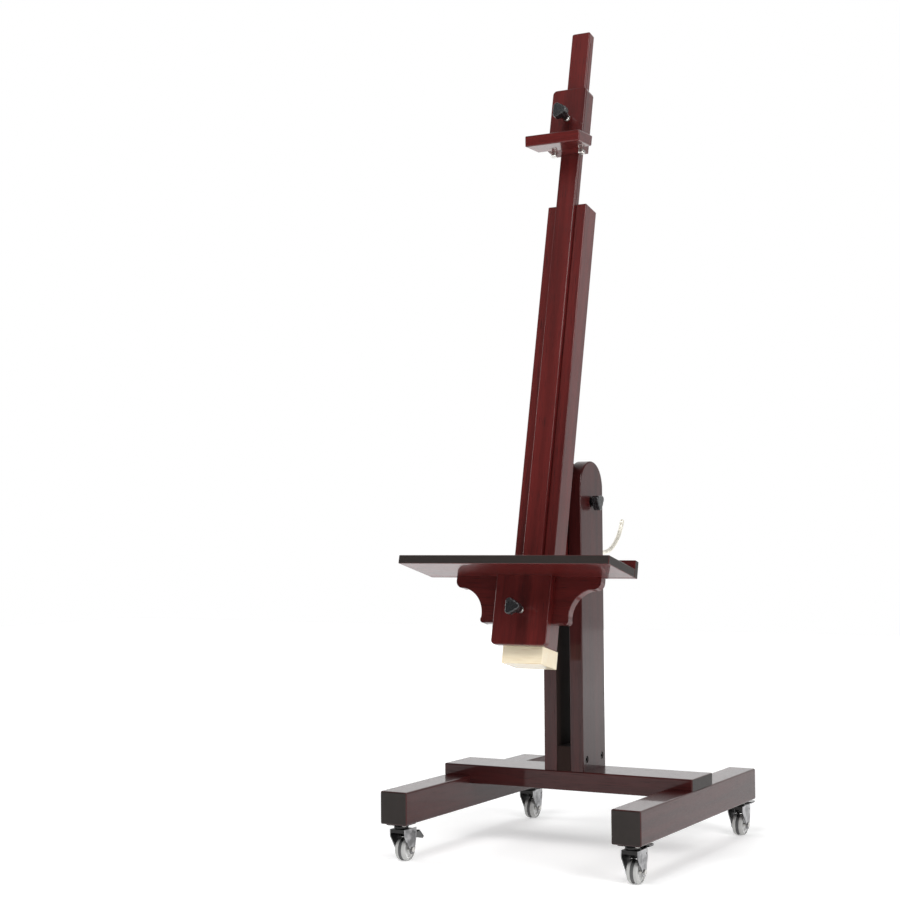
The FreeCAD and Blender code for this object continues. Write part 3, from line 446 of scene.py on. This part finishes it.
def turned(name, outline, place, toward, steps, pitch=0.0, turns=1):
    """Turns a closed outline of (along, radius) points; a pitch makes a thread.

    Without a pitch, points nearer than 10 mm to the axis merge on it. That is
    the modifier's default, and it closes the boss of a hub and the core of a
    screw, which is a fault."""
    bpy.ops.object.select_all(action="DESELECT")
    bpy.ops.mesh.primitive_circle_add(vertices=len(outline), location=place)
    piece = bpy.context.object
    piece.name = name
    for vertex, (along, radius) in zip(piece.data.vertices, outline):
        vertex.co = (along, 0.0, radius)
    turning = piece.modifiers.new("turning", "SCREW")
    turning.axis = "X"
    turning.steps = steps
    turning.render_steps = steps
    turning.screw_offset = pitch
    turning.iterations = turns
    turning.use_merge_vertices = pitch == 0.0
    bpy.ops.object.modifier_apply(modifier="turning")
    piece.rotation_mode = "QUATERNION"
    piece.rotation_quaternion = Vector((1, 0, 0)).rotation_difference(Vector(toward))
    bpy.ops.object.transform_apply(location=True, rotation=True, scale=False)
    bpy.ops.object.mode_set(mode="EDIT")
    bpy.ops.mesh.select_all(action="SELECT")
    bpy.ops.mesh.normals_make_consistent(inside=False)
    bpy.ops.object.mode_set(mode="OBJECT")
    bpy.ops.object.shade_smooth_by_angle(angle=SMOOTH_BELOW)
    return piece


def on_mast(out, up):
    """A point on the middle plane of the mast, out from and up from the pivot."""
    sine = math.sin(MAST_LEAN)
    cosine = math.cos(MAST_LEAN)
    return Vector((0.0, up * sine - out * cosine, PIVOT_HEIGHT + out * sine + up * cosine))


def threaded_screw(name, node, body, inner, outer, up):
    """A clamp screw with a cut thread from its tip to the inside of its knob."""
    length = outer - inner
    tip = on_mast(inner, up)
    toward = on_mast(1.0, 0.0) - on_mast(0.0, 0.0)
    core_outline = [
        (0.0, SCREW_CORE_BORE),
        (0.0, THREAD_ROOT - SCREW_END_BEVEL),
        (SCREW_END_BEVEL, THREAD_ROOT),
        (length, THREAD_ROOT),
        (length, SCREW_CORE_BORE),
    ]
    ridge_outline = [
        (0.0, THREAD_ROOT - THREAD_SINK),
        (THREAD_PITCH * 0.5, THREAD_CREST),
        (THREAD_PITCH, THREAD_ROOT - THREAD_SINK),
    ]
    turns = int(length / THREAD_PITCH) - PLAIN_TURNS
    ridge = turned(name + "_thread", ridge_outline, tip, toward, SCREW_STEPS, THREAD_PITCH, turns)
    core = turned(name, core_outline, tip, toward, SCREW_STEPS)
    ridge.select_set(True)
    bpy.context.view_layer.objects.active = core
    bpy.ops.object.join()
    core.data.materials.append(bright_steel)
    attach(core, body)
    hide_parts(node)


threaded_screw("tray_screw_threaded", "tray_clamp_screw", "tray_clamp_knob",
               inner=0.1136, outer=0.2135, up=-0.255)
threaded_screw("head_screw_threaded", "head_screw", "head_clamp_knob",
               inner=0.1590, outer=0.2155, up=0.761)


# ------------------------------------------------------------------- the knobs
# Three-lobed knobs moulded in black plastic round the ends of the screws and
# the pivot bolt, shiny, with a faint orange peel.
HANDLED_RANGE = (0.45, 0.7)
HANDLED_ROUGHER = 0.18
HANDLED_COAT_LOSS = 0.4
WORN_GAIN = 1.25
WORN_LIFT = 0.006


def moulded_plastic(name, colour, roughness, coat=0.0):
    """Moulded plastic: fine orange peel, and duller where it has been handled."""
    plastic = Finish(name, specular_ior_level=0.5, coat_roughness=0.15)
    peel = plastic.noise(plastic.place(), scale=700.0, detail=2.0)
    handled = plastic.noise(plastic.place(), scale=45.0, detail=3.0)
    worn = tuple(min(1.0, channel * WORN_GAIN + WORN_LIFT) for channel in colour)
    plastic.set(base_color=plastic.blend(plastic.between(handled, *HANDLED_RANGE), colour, worn))
    plastic.set(roughness=roughness + HANDLED_ROUGHER * handled)
    plastic.set(coat_weight=coat - coat * HANDLED_COAT_LOSS * handled)
    plastic.bump(peel, distance=0.00004, strength=0.35)
    return plastic.material


black_plastic = moulded_plastic("black_plastic", (0.012, 0.012, 0.013), roughness=0.18, coat=0.4)
for node in ("tray_knob", "head_knob", "pivot_knob"):
    finish_node(node, black_plastic)


# ----------------------------------------------------------------- the casters
# Pressed chromed forks that turn under their plates, with black toe brakes.
# Each wheel is a soft grey tyre with a grooved tread on a dished white hub,
# both turned round the axle.
CASTER_X = 0.241
CASTER_Y = {"front": -0.278, "rear": 0.278}
SIDE_OF = {"left": -1, "right": 1}
WHEEL_TRAIL = 0.014
WHEEL_HEIGHT = 0.022
WHEEL_STEPS = 64
LEG_INNER = 0.0153
LEG_EDGE = 0.0002
TREAD_HALF = 0.0030
TREAD_EDGE = 0.0008
CHROME_BRIGHT = (0.42, 0.42, 0.43)
CHROME_DULL = (0.16, 0.16, 0.165)
FORK_INSIDE_PAINTED_SHADE = (0.045, 0.044, 0.044)
CHROME_PATCH_RANGE = (0.35, 0.7)
CHROME_ROUGHNESS = 0.09
CHROME_PATCH_ROUGHER = 0.08
CHROME_INSIDE_ROUGHER = 0.35
TYRE_PALE = (0.50, 0.50, 0.49)
TYRE_WORN = (0.42, 0.42, 0.41)
TYRE_GROOVE = (0.10, 0.10, 0.10)
TYRE_ROUGHNESS = 0.42
TYRE_MOTTLE_ROUGHER = 0.2
GROOVE_DEPTH = 2.0
TYRE_HALF_OUTLINE = [
    (0.0110, 0.0182),
    (0.0110, 0.0192),
    (0.0104, 0.0207),
    (0.0092, 0.0216),
    (0.0076, 0.0220),
    (0.0034, 0.0220),
    (0.0028, 0.0208),
]
HUB_HALF_OUTLINE = [
    (0.0142, 0.0032),
    (0.0142, 0.0058),
    (0.0128, 0.0068),
    (0.0096, 0.0072),
    (0.0068, 0.0086),
    (0.0060, 0.0104),
    (0.0062, 0.0136),
    (0.0076, 0.0150),
    (0.0086, 0.0156),
    (0.0090, 0.0166),
    (0.0090, 0.0178),
]


def chromed_fork(name, x):
    """Bright chrome outside; the inside faces of the legs are painted near black and rougher, as painted
    shade.
    """
    fork = Finish(name, metallic=1.0)
    patches = fork.noise(fork.place(), scale=60.0, detail=3.0)
    from_middle = fork.offset_across(x)
    # The inside faces of the fork legs are painted near black as painted shade.
    inside = fork.between(from_middle, LEG_INNER - LEG_EDGE, LEG_INNER + LEG_EDGE, 1.0, 0.0)
    outside = fork.blend(fork.between(patches, *CHROME_PATCH_RANGE), CHROME_BRIGHT, CHROME_DULL)
    fork.set(base_color=fork.blend(inside, outside, FORK_INSIDE_PAINTED_SHADE))
    fork.set(roughness=CHROME_ROUGHNESS + CHROME_PATCH_ROUGHER * patches + CHROME_INSIDE_ROUGHER * inside)
    fork.bump(patches, distance=0.0006, strength=0.5)
    return fork.material


def banded_tyre(name, x):
    """Pale grey soft tread with a darker groove round the middle."""
    tyre = Finish(name, specular_ior_level=0.35)
    mottle = tyre.noise(tyre.place(), scale=120.0, detail=3.0)
    groove = tyre.between(tyre.offset_across(x), TREAD_HALF, TREAD_HALF + TREAD_EDGE, 1.0, 0.0)
    tyre.set(base_color=tyre.blend(groove, tyre.blend(mottle, TYRE_PALE, TYRE_WORN), TYRE_GROOVE))
    tyre.set(roughness=TYRE_ROUGHNESS + TYRE_MOTTLE_ROUGHER * mottle)
    tyre.bump(mottle - GROOVE_DEPTH * groove, distance=0.0002, strength=0.5)
    return tyre.material


def both_sides(half_outline):
    """A closed outline from its right half, listed from the axle outwards."""
    left = [(-along, radius) for along, radius in reversed(half_outline)]
    return half_outline + left


def wheel_part(corner, node, half_outline, finish, axle_middle):
    """A tyre or a hub, turned round the axle in place of its plain solid."""
    outline = both_sides(half_outline)
    part = turned("turned_" + corner + "_" + node, outline, axle_middle, ACROSS, WHEEL_STEPS)
    part.data.materials.append(finish)
    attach(part, corner + "_wheel")
    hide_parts(corner + "_" + node)


white_plastic = moulded_plastic("white_plastic", (0.80, 0.80, 0.79), roughness=0.35)
for hand, side in SIDE_OF.items():
    fork_finish = chromed_fork("fork_chrome", side * CASTER_X)
    tyre_finish = banded_tyre("tyre_rubber", side * CASTER_X)
    for end, caster_y in CASTER_Y.items():
        corner = end + "_" + hand
        finish_node(corner + "_fork", fork_finish)
        finish_node(corner + "_axle", zinc)
        finish_node(corner + "_brake_pedal", black_plastic)
        axle_middle = (side * CASTER_X, caster_y + WHEEL_TRAIL, WHEEL_HEIGHT)
        wheel_part(corner, "tyre", TYRE_HALF_OUTLINE, tyre_finish, axle_middle)
        wheel_part(corner, "wheel_hub", HUB_HALF_OUTLINE, white_plastic, axle_middle)
